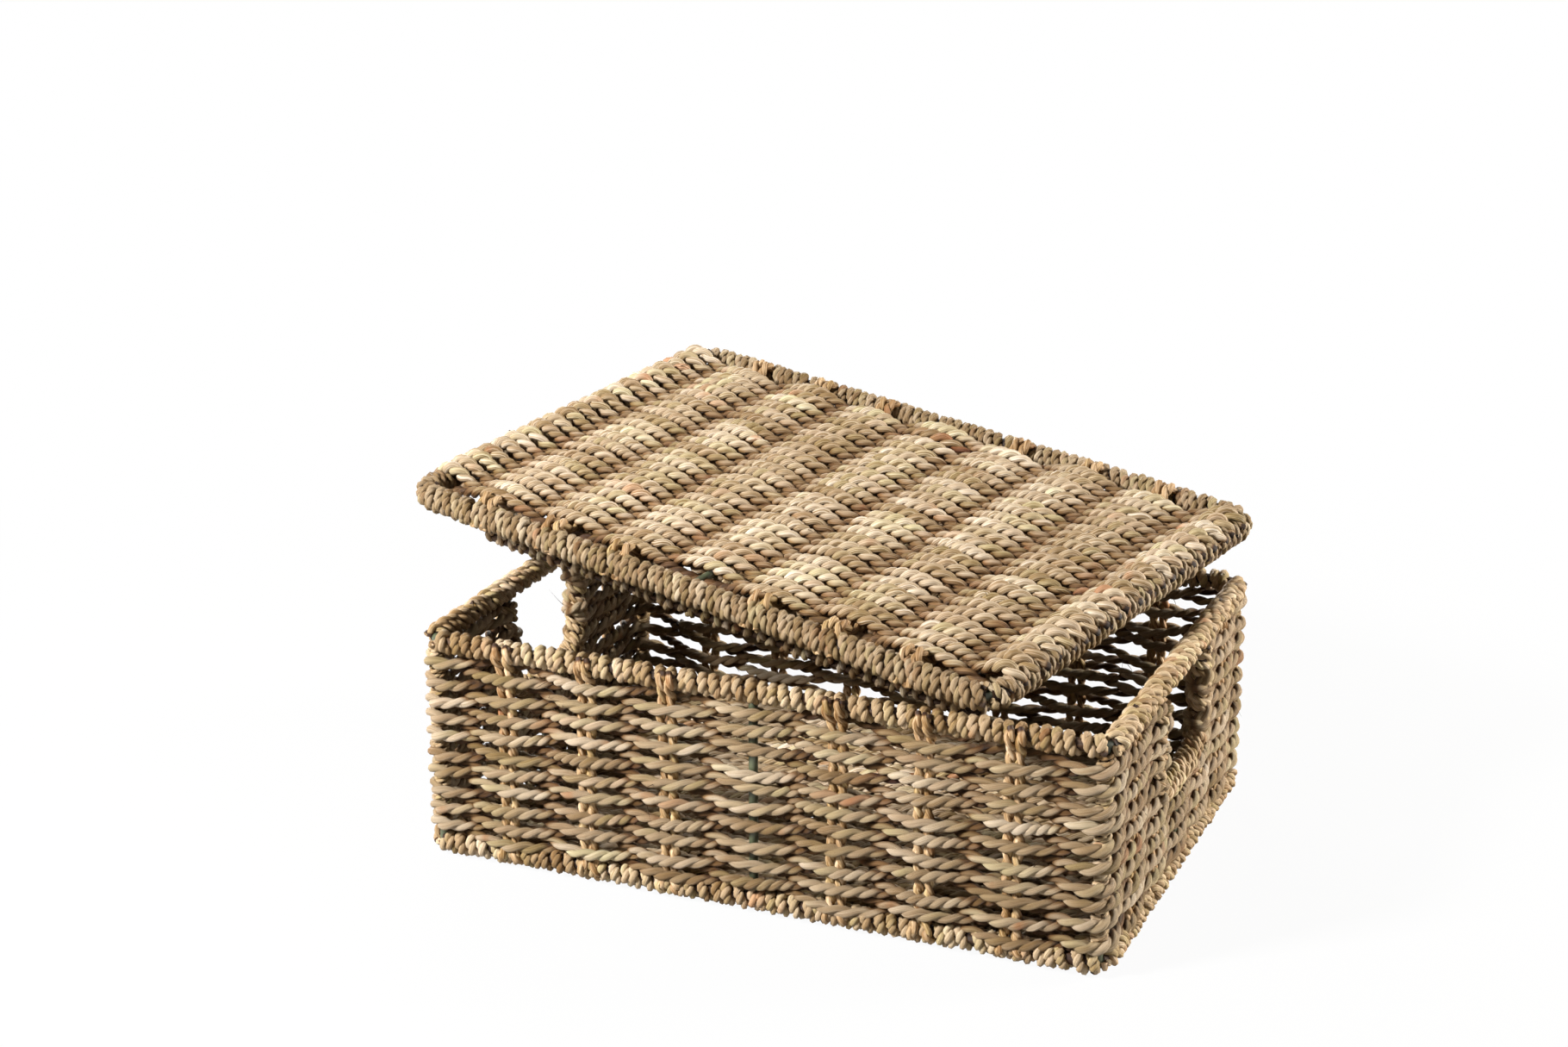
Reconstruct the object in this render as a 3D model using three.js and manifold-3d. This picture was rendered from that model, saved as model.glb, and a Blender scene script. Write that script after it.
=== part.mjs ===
// Lidded storage box of twined seagrass rope on a welded wire frame.
// Millimetres, +Z up. The origin is the middle of the underside; the long side lies along X
// and the front faces -Y. The loose lid lies askew on the rim, its lip propped on two sides.
import * as THREE from 'three';
import { mergeVertices } from 'three/addons/utils/BufferGeometryUtils.js';
import Module from 'manifold-3d';

const wasm = await Module();
wasm.setup();

// Wire frame of the box, measured between wire centres
const ringLength = 310;
const ringDepth = 210;
const ringCornerRadius = 8;
const boxHeight = 107;
const wireDiameter = 4;
const wireSides = 6;

// Ropes and cords
const ropeDiameter = 6;
const ropeSides = 4;
const stakeCordDiameter = 3.6;
const stakeCordSpacing = 4.2;
const stakeCordSides = 6;
const rimBindingDiameter = 10;
const baseBindingDiameter = 8;
const holeBindingDiameter = 8;
const bindingSides = 8;
const cornerBareLength = 1;
const fitGap = 0.3;

// Twined walls: bays between stakes, and rows of paired ropes
const longBays = 8;
const shortBays = 6;
const lowerRows = 4;
const upperRows = 6;
const legPressing = 0.8;
const cornerSwing = 7;
const cornerSpread = THREE.MathUtils.degToRad(30);

// Hand holes, one loop in each short side
const holeCornerRadius = 16;

// Base panel and lid
const panelRows = 21;
const baseThickness = 7.5;
const baseRowRelief = 2;
const lidOverLength = 16;
const lidOverDepth = 12;
const lidBorderDiameter = 12;
const lidCornerRadius = 14;
const lidCornerBareAngle = THREE.MathUtils.degToRad(10);
const lidPanelUnderside = 4.5;
const lidRidgeHeight = 7.5;
const lidValleyHeight = 4.6;
const lidRowRelief = 1.6;
const lidPanelMargin = 7;
const lidPanelSideGap = 0.6;
const lidLipInset = 22;
const lidLipDepth = 24;
const lidLipThickness = 6;
const lidLipRows = 3;
const lidLipGroove = 1.4;

// How the lid lies on the box
const lidShiftX = -23.3;
const lidShiftY = 38;
const lidYaw = THREE.MathUtils.degToRad(-14);
const lidPitch = THREE.MathUtils.degToRad(4.85);
const lidRoll = THREE.MathUtils.degToRad(5.4);

// Worked out from the sizes above
const halfLength = ringLength / 2;
const halfDepth = ringDepth / 2;
const rimWireZ = boxHeight - rimBindingDiameter / 2;
const baseWireZ = baseBindingDiameter / 2;
const weaveBottom = baseBindingDiameter + fitGap;
const weaveTop = boxHeight - rimBindingDiameter - fitGap;
const rowPitch = (weaveTop - weaveBottom) / (lowerRows + upperRows);
const longBay = ringLength / longBays;
const shortBay = ringDepth / shortBays;
const holeHalfWidth = shortBay;
const holeWireZ = weaveBottom + lowerRows * rowPitch + fitGap + holeBindingDiameter / 2;
const cornerInset = ringCornerRadius * (1 - Math.SQRT1_2);
const lidLength = ringLength + lidOverLength;
const lidDepth = ringDepth + lidOverDepth;
const lidHalfLength = (lidLength - lidBorderDiameter) / 2;
const lidHalfDepth = (lidDepth - lidBorderDiameter) / 2;
const lipHalfLength = lidLength / 2 - lidLipInset;
const lipHalfDepth = lidDepth / 2 - lidLipInset;
const lipBottom = lidBorderDiameter / 2 + lidLipDepth;
const lipTop = lidPanelUnderside + fitGap;

const seagrass = { color: 0xc2a878, roughness: 0.85, metalness: 0 };
const seagrassPale = { color: 0xcdb78a, roughness: 0.85, metalness: 0 };
const seagrassDark = { color: 0xa98c5f, roughness: 0.9, metalness: 0 };
const coatedWire = { color: 0x3f5a48, roughness: 0.45, metalness: 0.2 };

const vec = (x, y, z) => new THREE.Vector3(x, y, z);

// A closed skin lofted through rings of equal count; open paths get flat end caps
function loftRings(rings, closed) {
  const count = rings[0].length;
  const positions = rings.flat().flatMap((p) => [p.x, p.y, p.z]);
  const index = [];
  const spans = closed ? rings.length : rings.length - 1;
  for (let r = 0; r < spans; r += 1) {
    const next = (r + 1) % rings.length;
    for (let i = 0; i < count; i += 1) {
      const j = (i + 1) % count;
      const a = r * count + i;
      const b = r * count + j;
      const c = next * count + i;
      const d = next * count + j;
      index.push(a, b, d, a, d, c);
    }
  }
  if (!closed) {
    const last = (rings.length - 1) * count;
    for (let i = 1; i < count - 1; i += 1) {
      index.push(0, i + 1, i);
      index.push(last, last + i, last + i + 1);
    }
  }
  const geometry = new THREE.BufferGeometry();
  geometry.setAttribute('position', new THREE.Float32BufferAttribute(positions, 3));
  geometry.setIndex(index);
  return geometry;
}

// A section swept along stations; each station has a point, an outward direction for the
// section, and the half sizes of the section outwards and sideways, to its flats or its edges
function sweep(stations, sides, closed, toFlats) {
  const total = stations.length;
  const reach = toFlats ? 1 / Math.cos(Math.PI / sides) : 1;
  const firstCorner = toFlats ? 0.5 : 0;
  const rings = stations.map((station, k) => {
    const before = closed ? stations[(k + total - 1) % total] : stations[Math.max(k - 1, 0)];
    const after = closed ? stations[(k + 1) % total] : stations[Math.min(k + 1, total - 1)];
    const along = after.point.clone().sub(before.point).normalize();
    const side = along.clone().cross(station.out).normalize();
    const out = side.clone().cross(along).normalize();
    return Array.from({ length: sides }, (_, i) => {
      const angle = ((i + firstCorner) / sides) * 2 * Math.PI;
      return station.point.clone()
        .addScaledVector(out, Math.cos(angle) * station.halfOut * reach)
        .addScaledVector(side, Math.sin(angle) * station.halfSide * reach);
    });
  });
  return loftRings(rings, closed);
}

function rod(points, out, diameter, sides, closed = false) {
  const half = diameter / 2;
  const stations = points.map((point) => ({ point, out, halfOut: half, halfSide: half }));
  return sweep(stations, sides, closed, true);
}

// Solids for joining and cutting
function toSolid(geometry) {
  const bare = geometry.clone();
  bare.deleteAttribute('normal');
  bare.deleteAttribute('uv');
  const merged = mergeVertices(bare, 1e-4);
  return new wasm.Manifold(new wasm.Mesh({
    numProp: 3,
    vertProperties: new Float32Array(merged.attributes.position.array),
    triVerts: new Uint32Array(merged.index.array),
  }));
}

function toGeometry(solid) {
  const mesh = solid.getMesh();
  const geometry = new THREE.BufferGeometry();
  geometry.setAttribute('position', new THREE.Float32BufferAttribute(mesh.vertProperties, 3));
  geometry.setIndex(Array.from(mesh.triVerts));
  return geometry;
}

const joined = (geometries) => geometries.map(toSolid).reduce((sum, solid) => sum.add(solid));

function named(name, geometry, finish) {
  geometry.computeVertexNormals();
  const mesh = new THREE.Mesh(geometry, new THREE.MeshStandardMaterial(finish));
  mesh.name = name;
  return mesh;
}

// Points of a rectangle with round corners, at one height
function roundedRectangle(halfX, halfY, radius, z, cornerSteps = 3) {
  const corners = [[1, -1, -90], [1, 1, 0], [-1, 1, 90], [-1, -1, 180]];
  return corners.flatMap(([sx, sy, start]) => Array.from({ length: cornerSteps + 1 }, (_, k) => {
    const angle = THREE.MathUtils.degToRad(start + (90 * k) / cornerSteps);
    return vec(
      sx * (halfX - radius) + radius * Math.cos(angle),
      sy * (halfY - radius) + radius * Math.sin(angle),
      z,
    );
  }));
}

// The loop round a hand hole: down one leg, round the bottom and up the other leg
function holeLoop(side, top, cornerSteps = 3) {
  const x = side * halfLength;
  const inner = holeHalfWidth - holeCornerRadius;
  const arc = (sign) => Array.from({ length: cornerSteps + 1 }, (_, k) => {
    const angle = (Math.PI / 2) * (k / cornerSteps);
    return vec(
      x,
      sign * (inner + holeCornerRadius * Math.cos(angle)),
      holeWireZ + holeCornerRadius * (1 - Math.sin(angle)),
    );
  });
  return [vec(x, -holeHalfWidth, top), ...arc(-1), ...arc(1).reverse(), vec(x, holeHalfWidth, top)];
}

const cornerPosts = [[1, -1], [1, 1], [-1, 1], [-1, -1]].map(([sx, sy]) => [
  sx * (halfLength - cornerInset),
  sy * (halfDepth - cornerInset),
]);

// All wires of the box frame, grown by an allowance where a binding has to clear them
function boxFrameSolid(allowance = 0) {
  const diameter = wireDiameter + 2 * allowance;
  const up = vec(0, 0, 1);
  const right = vec(1, 0, 0);
  const ring = (z) => rod(
    roundedRectangle(halfLength, halfDepth, ringCornerRadius, z), up, diameter, wireSides, true);
  const post = (x, y, top) => rod(
    [vec(x, y, baseWireZ), vec(x, y, top)], right, diameter, wireSides);
  const loop = (side) => rod(holeLoop(side, rimWireZ), right, diameter, wireSides);
  return joined([
    ring(rimWireZ),
    ring(baseWireZ),
    ...cornerPosts.map(([x, y]) => post(x, y, rimWireZ)),
    post(0, -halfDepth, rimWireZ),
    post(0, halfDepth, rimWireZ),
    post(-halfLength, 0, holeWireZ),
    post(halfLength, 0, holeWireZ),
    loop(-1),
    loop(1),
  ]);
}

// Stake: one cord doubled over into a pair of legs
function hairpin(foot, head, across, diameter) {
  const half = diameter / 2;
  const offset = across.clone().multiplyScalar(stakeCordSpacing / 2);
  const along = head.clone().sub(foot).normalize();
  const out = along.clone().cross(across);
  const shoulder = head.clone().addScaledVector(along, -half);
  const points = [
    foot.clone().sub(offset),
    shoulder.clone().sub(offset),
    shoulder.clone().add(offset),
    foot.clone().add(offset),
  ];
  return rod(points, out, diameter, stakeCordSides);
}

// Positions of the stakes and of the middles of the bays, once round the box from the rear
// left corner: left side, front, right side, rear
function wallStations() {
  const walls = [
    { from: [-1, 1], along: [0, -1], out: [-1, 0], bays: shortBays, pitch: shortBay },
    { from: [-1, -1], along: [1, 0], out: [0, -1], bays: longBays, pitch: longBay },
    { from: [1, -1], along: [0, 1], out: [1, 0], bays: shortBays, pitch: shortBay },
    { from: [1, 1], along: [-1, 0], out: [0, 1], bays: longBays, pitch: longBay },
  ];
  return walls.flatMap((wall) => {
    const [sx, sy] = wall.from;
    const corner = {
      kind: 'corner',
      point: vec(sx * (halfLength - cornerInset), sy * (halfDepth - cornerInset), 0),
      out: vec(sx, sy, 0).normalize(),
    };
    const list = [corner];
    for (let half = 1; half < 2 * wall.bays; half += 1) {
      const run = (half * wall.pitch) / 2;
      list.push({
        kind: half % 2 ? 'bay' : 'stake',
        halfBay: wall.pitch / 2,
        point: vec(sx * halfLength + wall.along[0] * run, sy * halfDepth + wall.along[1] * run, 0),
        out: vec(wall.out[0], wall.out[1], 0),
      });
    }
    return list;
  });
}

const stations = wallStations();
const shortHalves = 2 * shortBays;
const longHalves = 2 * longBays;
const turnHalves = stations.length;
const twistLift = rowPitch / 4;
const flatHalfHeight = twistLift - fitGap / 2;
const ropeHalf = ropeDiameter / 2;

const flatHalf = (diameter, sides) => (diameter / 2) * Math.tan(Math.PI / sides);

// How far a rope stands off the plane of the stakes, so that its slanting run to the middle
// of the bay clears the shoulder of what it passes
function standOff(station) {
  if (station.kind === 'corner') return cornerSwing;
  const atLeg = station.kind === 'leg';
  const passed = atLeg ? holeBindingDiameter : stakeCordDiameter;
  const shoulder = atLeg
    ? flatHalf(holeBindingDiameter, bindingSides)
    : stakeCordSpacing / 2 + flatHalf(stakeCordDiameter, stakeCordSides);
  const share = shoulder / station.halfBay;
  const half = atLeg ? ropeHalf * legPressing : ropeHalf;
  const swelling = (ropeHalf - half) * share;
  return (passed / 2 + 2 * fitGap + half + swelling) / (1 - share);
}

// One rope of a twined pair at one station. The strand is +1 or -1, and phase counts the
// quarter twists; slope is the sense in which the row runs round the box.
function ropeStation(station, strand, phase, slope, z) {
  const swing = Math.round(Math.cos((phase * Math.PI) / 2)) * strand;
  const lift = -Math.round(Math.sin((phase * Math.PI) / 2)) * strand * slope;
  const crossing = swing === 0;
  const reach = crossing ? 0 : swing * standOff(station);
  const point = station.point.clone().addScaledVector(station.out, reach);
  point.z = z + lift * twistLift;
  const pressed = station.kind === 'leg' ? ropeHalf * legPressing : ropeHalf;
  return {
    point,
    out: station.out,
    halfOut: crossing ? ropeHalf : pressed,
    halfSide: crossing ? flatHalfHeight : pressed,
  };
}

// The stations of a rope in one bay step: outside a corner post it bends in two places
function ropeStations(station, strand, phase, slope, z) {
  const outsideCorner = station.kind === 'corner' && Math.cos((phase * Math.PI) / 2) * strand > 0;
  if (!outsideCorner) return [ropeStation(station, strand, phase, slope, z)];
  return [-slope, slope].map((turn) => {
    const out = station.out.clone().applyAxisAngle(vec(0, 0, 1), turn * cornerSpread);
    return ropeStation({ ...station, out }, strand, phase, slope, z);
  });
}

const rowHeight = (row) => weaveBottom + (row + 0.5) * rowPitch;

// The lower rows: one pair of ropes winding round the box and climbing a row in the last bay
function lowerRope(strand) {
  const path = [];
  for (let row = 0; row < lowerRows; row += 1) {
    const lastHalf = row === lowerRows - 1 ? turnHalves - 2 : turnHalves - 1;
    for (let half = 0; half <= lastHalf; half += 1) {
      const climb = half === turnHalves - 1 ? rowPitch / 2 : 0;
      path.push(...ropeStations(stations[half], strand, half, 1, rowHeight(row) + climb));
    }
  }
  return sweep(path, ropeSides, false, false);
}

// The upper rows of the front or the rear: a pair of ropes running to and fro between the
// legs of the two hand holes
function upperRope(first, last, strand) {
  const run = [];
  for (let half = first; half <= last; half += 1) {
    const station = stations[half % turnHalves];
    const atLeg = half === first || half === last;
    run.push(atLeg ? { ...station, kind: 'leg' } : station);
  }
  const path = [];
  for (let row = 0; row < upperRows; row += 1) {
    const forth = row % 2 === 0;
    const order = forth ? run : [...run].reverse();
    order.forEach((station, half) => {
      const z = rowHeight(lowerRows + row);
      path.push(...ropeStations(station, strand, half, forth ? 1 : -1, z));
    });
  }
  return sweep(path, ropeSides, false, false);
}

// A panel of rows running along X, with ridges where the ropes pass over the stakes
function ridgedPanel(halfX, halfY, bottom, heightAt, stepsX, rows) {
  const stepsY = rows * 2;
  const ringAt = (k) => {
    const y = -halfY + (2 * halfY * k) / stepsY;
    const top = Array.from({ length: stepsX + 1 }, (_, i) => {
      const x = -halfX + (2 * halfX * i) / stepsX;
      return vec(x, y, heightAt(x, k % 2 === 1));
    });
    return [vec(halfX, y, bottom), vec(-halfX, y, bottom), ...top];
  };
  return loftRings(Array.from({ length: stepsY + 1 }, (_, k) => ringAt(k)), false);
}

function basePanel() {
  const halfX = halfLength - baseBindingDiameter / 2 - fitGap;
  const halfY = halfDepth - baseBindingDiameter / 2 - fitGap;
  const heightAt = (x, onRow) => baseThickness - (onRow ? 0 : baseRowRelief);
  return ridgedPanel(halfX, halfY, 0, heightAt, 1, panelRows);
}

// Lid, in its own frame: the middle of the border at the origin
const lidBay = (2 * lidHalfLength) / longBays;

function lidFrameSolid(allowance = 0) {
  const diameter = wireDiameter + 2 * allowance;
  const ring = rod(
    roundedRectangle(lidHalfLength, lidHalfDepth, lidCornerRadius, 0), vec(0, 0, 1),
    diameter, wireSides, true);
  const cross = rod(
    [vec(0, -lidHalfDepth, 0), vec(0, lidHalfDepth, 0)], vec(1, 0, 0), diameter, wireSides);
  return joined([ring, cross]);
}

// The run of one border, with its share of the round corner at each end
function borderRun(half, off, cornerSteps = 2) {
  const sweepAngle = Math.PI / 4 - lidCornerBareAngle;
  const arc = Array.from({ length: cornerSteps + 1 }, (_, k) => {
    const angle = (sweepAngle * k) / cornerSteps;
    return vec(
      half - lidCornerRadius * (1 - Math.sin(angle)),
      -off + lidCornerRadius * (1 - Math.cos(angle)),
      0,
    );
  });
  const mirrored = arc.map((point) => vec(-point.x, point.y, 0)).reverse();
  return [...mirrored, ...arc];
}

const lidStakeFoot = lidHalfDepth - lidBorderDiameter / 2 - fitGap;
const lidPanelHalfDepth = lidHalfDepth - lidBorderDiameter / 2 - lidPanelMargin;
const lidStakeColumns = Array.from({ length: longBays - 1 }, (_, i) => i + 1 - longBays / 2)
  .filter((column) => column !== 0);

function lidStake(column, diameter, extra = 0) {
  const x = column * lidBay;
  return hairpin(
    vec(x, -lidStakeFoot - extra, 0), vec(x, lidStakeFoot + extra, 0), vec(1, 0, 0), diameter);
}

function lidPanelSolid() {
  const halfX = lidHalfLength - lidBorderDiameter / 2 - lidPanelSideGap;
  const heightAt = (x, onRow) => {
    const onRidge = Math.cos((x / lidBay) * 2 * Math.PI) > 0;
    const height = onRidge ? lidRidgeHeight : lidValleyHeight;
    return height - (onRow ? 0 : lidRowRelief);
  };
  const panel = toSolid(
    ridgedPanel(halfX, lidPanelHalfDepth, -lidPanelUnderside, heightAt, 2 * longBays, panelRows));
  const width = stakeCordSpacing + stakeCordDiameter + 2 * fitGap;
  const tunnel = (column) => {
    const slot = new THREE.BoxGeometry(width, 2 * lidHalfDepth, stakeCordDiameter + 4 * fitGap);
    return toSolid(slot.translate(column * lidBay, 0, 0));
  };
  const cut = lidStakeColumns.map(tunnel).reduce((sum, slot) => sum.add(slot));
  return panel.subtract(cut).subtract(lidFrameSolid(fitGap));
}

// A side of the lip: rope rows one under the other, a grooved strip standing on edge
function lipStrip(length) {
  const shape = new THREE.Shape();
  const half = lidLipThickness / 2;
  const rowDepth = (lipBottom - lipTop) / lidLipRows;
  const outline = [];
  for (let row = 0; row < lidLipRows; row += 1) {
    const top = -lipTop - row * rowDepth;
    outline.push([half - lidLipGroove, top], [half, top - rowDepth / 2]);
  }
  outline.push([half - lidLipGroove, -lipBottom]);
  const mirrored = outline.map(([x, y]) => [-x, y]).reverse();
  [...outline, ...mirrored].forEach(([x, y], k) => (k ? shape.lineTo(x, y) : shape.moveTo(x, y)));
  const strip = new THREE.ExtrudeGeometry(shape, { depth: length, bevelEnabled: false });
  return strip.translate(0, 0, -length / 2).rotateX(Math.PI / 2);
}

// Height at which the tilted lid comes to rest: the rim is sampled round its upper half,
// and the lid is lifted until its underside clears every sample
function lidRestHeight(rotation) {
  const toLid = rotation.clone().transpose();
  const normal = vec(0, 0, 1).applyMatrix4(rotation);
  const lidBottomAt = (u, v) => {
    const fromLipX = Math.abs(u - lipHalfLength + lidLipThickness / 2);
    const fromLipY = Math.abs(v - lipHalfDepth + lidLipThickness / 2);
    const lipFoot = lidLipThickness / 2 - lidLipGroove;
    const onLongLip = fromLipY <= lipFoot && u <= lipHalfLength;
    const onShortLip = fromLipX <= lipFoot && v <= lipHalfDepth;
    if (onLongLip || onShortLip) return -lipBottom;
    if (u > lidLength / 2 || v > lidDepth / 2) return Infinity;
    const fromBorder = Math.min(Math.abs(u - lidHalfLength), Math.abs(v - lidHalfDepth));
    const borderRadius = lidBorderDiameter / 2;
    if (fromBorder > borderRadius) return -lidPanelUnderside;
    return -Math.sqrt(borderRadius ** 2 - fromBorder ** 2);
  };
  const radius = rimBindingDiameter / 2;
  const rimPoints = [];
  const samples = 120;
  for (let k = 0; k <= samples; k += 1) {
    const share = (2 * k) / samples - 1;
    for (let tilt = -60; tilt <= 60; tilt += 20) {
      const lean = THREE.MathUtils.degToRad(tilt);
      const aside = radius * Math.sin(lean);
      const z = rimWireZ + radius * Math.cos(lean);
      for (const side of [-1, 1]) {
        rimPoints.push(vec(share * halfLength, side * halfDepth + aside, z));
        rimPoints.push(vec(side * halfLength + aside, share * halfDepth, z));
      }
    }
  }
  let height = boxHeight;
  for (let settle = 0; settle < 6; settle += 1) {
    const centre = vec(lidShiftX, lidShiftY, height);
    let lift = -Infinity;
    for (const point of rimPoints) {
      const local = point.clone().sub(centre).applyMatrix4(toLid);
      const bottom = lidBottomAt(Math.abs(local.x), Math.abs(local.y));
      if (bottom !== Infinity) lift = Math.max(lift, (local.z - bottom) / normal.z);
    }
    height += lift;
  }
  return height + fitGap;
}

// Assembly of the box
const box = new THREE.Group();
const clearFrame = boxFrameSolid(fitGap);
box.add(named('box_frame', toGeometry(boxFrameSolid()), coatedWire));
box.add(named('base_weave', basePanel(), seagrassDark));

const bound = (geometry) => toGeometry(toSolid(geometry).subtract(clearFrame));
const bindingRuns = [
  { side: 'front', at: [0, -halfDepth], along: [1, 0], length: ringLength },
  { side: 'rear', at: [0, halfDepth], along: [1, 0], length: ringLength },
  { side: 'left', at: [-halfLength, 0], along: [0, 1], length: ringDepth },
  { side: 'right', at: [halfLength, 0], along: [0, 1], length: ringDepth },
];
for (const run of bindingRuns) {
  const half = run.length / 2 - ringCornerRadius - cornerBareLength;
  const tube = (z, diameter) => rod([-half, half].map((t) => vec(
    run.at[0] + run.along[0] * t, run.at[1] + run.along[1] * t, z)), vec(0, 0, 1), diameter, bindingSides);
  box.add(named(`rim_binding_${run.side}`, bound(tube(rimWireZ, rimBindingDiameter)), seagrass));
  box.add(named(`base_binding_${run.side}`, bound(tube(baseWireZ, baseBindingDiameter)), seagrass));
}
for (const [side, sign] of [['left', -1], ['right', 1]]) {
  const loop = rod(holeLoop(sign, weaveTop), vec(1, 0, 0), holeBindingDiameter, bindingSides);
  box.add(named(`hand_hole_binding_${side}`, bound(loop), seagrass));
}

// Stakes of the long walls, counted from the left, leaving out the wire post in the middle
for (const [side, sign] of [['front', -1], ['rear', 1]]) {
  for (let column = 1; column < longBays; column += 1) {
    if (column === longBays / 2) continue;
    const x = -halfLength + column * longBay;
    const y = sign * halfDepth;
    const stake = hairpin(
      vec(x, y, weaveBottom), vec(x, y, weaveTop), vec(1, 0, 0), stakeCordDiameter);
    box.add(named(`stake_${side}_${column}`, stake, seagrassDark));
  }
}

// Stakes of the short walls, counted from the front; the two beside the middle end under
// the round corners of the hand hole
const bindingReach = holeCornerRadius + holeBindingDiameter / 2;
const underLoop = holeCornerRadius - stakeCordSpacing / 2 - stakeCordDiameter / 2;
const shortStakeTop = holeWireZ + holeCornerRadius
  - Math.sqrt(bindingReach ** 2 - underLoop ** 2) - 2 * fitGap;
for (const [side, sign] of [['left', -1], ['right', 1]]) {
  for (let column = 1; column < shortBays; column += 1) {
    const fromMiddle = column - shortBays / 2;
    if (fromMiddle === 0) continue;
    const x = sign * halfLength;
    const y = fromMiddle * shortBay;
    const top = Math.abs(fromMiddle) === 1 ? shortStakeTop : weaveTop;
    const stake = hairpin(
      vec(x, y, weaveBottom), vec(x, y, top), vec(0, 1, 0), stakeCordDiameter);
    box.add(named(`stake_${side}_${column}`, stake, seagrassDark));
  }
}

// Twined ropes; the front run starts and ends at the nearer legs of the two hand holes
const legHalf = shortHalves / 2 + 2;
const frontFirst = legHalf;
const frontLast = shortHalves + longHalves + shortHalves - legHalf;
const rearFirst = frontLast + 4;
const rearLast = turnHalves + shortHalves - legHalf;
for (const [letter, strand] of [['a', 1], ['b', -1]]) {
  box.add(named(`lower_weaver_${letter}`, lowerRope(strand), seagrass));
  box.add(named(`front_weaver_${letter}`, upperRope(frontFirst, frontLast, strand), seagrassPale));
  box.add(named(`rear_weaver_${letter}`, upperRope(rearFirst, rearLast, strand), seagrassPale));
}

// Assembly of the lid
const lid = new THREE.Group();
const clearLidFrame = lidFrameSolid(fitGap);
lid.add(named('lid_frame', toGeometry(lidFrameSolid()), coatedWire));
lid.add(named('lid_weave', toGeometry(lidPanelSolid()), seagrassPale));
lidStakeColumns.forEach((column, k) => {
  lid.add(named(`lid_stake_${k + 1}`, lidStake(column, stakeCordDiameter), seagrassDark));
});
const lidRuns = [
  { side: 'front', turn: 0, half: lidHalfLength, off: lidHalfDepth },
  { side: 'right', turn: 1, half: lidHalfDepth, off: lidHalfLength },
  { side: 'rear', turn: 2, half: lidHalfLength, off: lidHalfDepth },
  { side: 'left', turn: 3, half: lidHalfDepth, off: lidHalfLength },
];
for (const run of lidRuns) {
  const border = rod(borderRun(run.half, run.off), vec(0, 0, 1), lidBorderDiameter, bindingSides)
    .rotateZ((run.turn * Math.PI) / 2);
  const solid = toSolid(border).subtract(clearLidFrame);
  lid.add(named(`lid_border_${run.side}`, toGeometry(solid), seagrass));
}
const lipMiddleY = lipHalfDepth - lidLipThickness / 2;
const lipMiddleX = lipHalfLength - lidLipThickness / 2;
const shortLip = 2 * (lipHalfDepth - lidLipThickness - fitGap);
for (const [side, sign] of [['front', -1], ['rear', 1]]) {
  const strip = lipStrip(2 * lipHalfLength).rotateZ(Math.PI / 2);
  lid.add(named(`lid_lip_${side}`, strip.translate(0, sign * lipMiddleY, 0), seagrass));
}
for (const [side, sign] of [['left', -1], ['right', 1]]) {
  const strip = lipStrip(shortLip);
  lid.add(named(`lid_lip_${side}`, strip.translate(sign * lipMiddleX, 0, 0), seagrass));
}
lid.rotation.set(lidRoll, lidPitch, lidYaw, 'ZYX');
const lidTurn = new THREE.Matrix4().makeRotationFromEuler(lid.rotation);
lid.position.set(lidShiftX, lidShiftY, lidRestHeight(lidTurn));

const lidded = new THREE.Group();
lidded.add(box, lid);
lidded.updateMatrixWorld(true);

export default lidded;
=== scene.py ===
import math

import bmesh
import bpy
import numpy as np
from mathutils import Euler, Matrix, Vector


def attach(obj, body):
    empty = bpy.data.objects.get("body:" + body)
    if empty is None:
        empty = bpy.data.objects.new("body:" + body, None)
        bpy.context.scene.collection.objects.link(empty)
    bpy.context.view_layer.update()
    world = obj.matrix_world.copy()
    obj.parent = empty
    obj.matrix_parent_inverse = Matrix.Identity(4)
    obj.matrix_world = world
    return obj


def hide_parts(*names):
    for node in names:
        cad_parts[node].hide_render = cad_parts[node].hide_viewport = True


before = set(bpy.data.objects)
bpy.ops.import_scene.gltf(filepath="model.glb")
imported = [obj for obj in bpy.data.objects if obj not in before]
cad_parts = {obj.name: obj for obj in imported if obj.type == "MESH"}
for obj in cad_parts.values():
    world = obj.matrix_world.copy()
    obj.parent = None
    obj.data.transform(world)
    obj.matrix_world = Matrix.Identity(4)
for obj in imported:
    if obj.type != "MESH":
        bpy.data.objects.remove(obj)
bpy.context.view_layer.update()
print("stage: frame loaded")

rng = np.random.default_rng(23)
mm = 0.001
turn = 2 * np.pi
gamma = 2.2


# Materials: dried sea grass, with painted shade in the grooves between plies and near the middle of
# the weave, and the green coat of the frame wire.


def linear(red, green, blue):
    return [(c / 255) ** gamma for c in (red, green, blue)] + [1.0]


def addNode(tree, kind, settings=None, **sockets):
    made = tree.nodes.new(kind)
    for key, value in (settings or {}).items():
        setattr(made, key, value)
    for key, value in sockets.items():
        socket = made.inputs[int(key[2:])] if key.startswith("in") else made.inputs[key]
        if isinstance(value, bpy.types.NodeSocket):
            tree.links.new(value, socket)
        else:
            socket.default_value = value
    return made


def mathNode(tree, operation, *values):
    sockets = {f"in{k}": value for k, value in enumerate(values)}
    return addNode(tree, "ShaderNodeMath", {"operation": operation}, **sockets).outputs[0]


def rampNode(tree, factor, stops):
    ramp = addNode(tree, "ShaderNodeValToRGB", in0=factor)
    while len(ramp.color_ramp.elements) < len(stops):
        ramp.color_ramp.elements.new(0.5)
    for element, (place, colour) in zip(ramp.color_ramp.elements, stops):
        element.position = place
        element.color = linear(*colour)
    return ramp.outputs[0]


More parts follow.
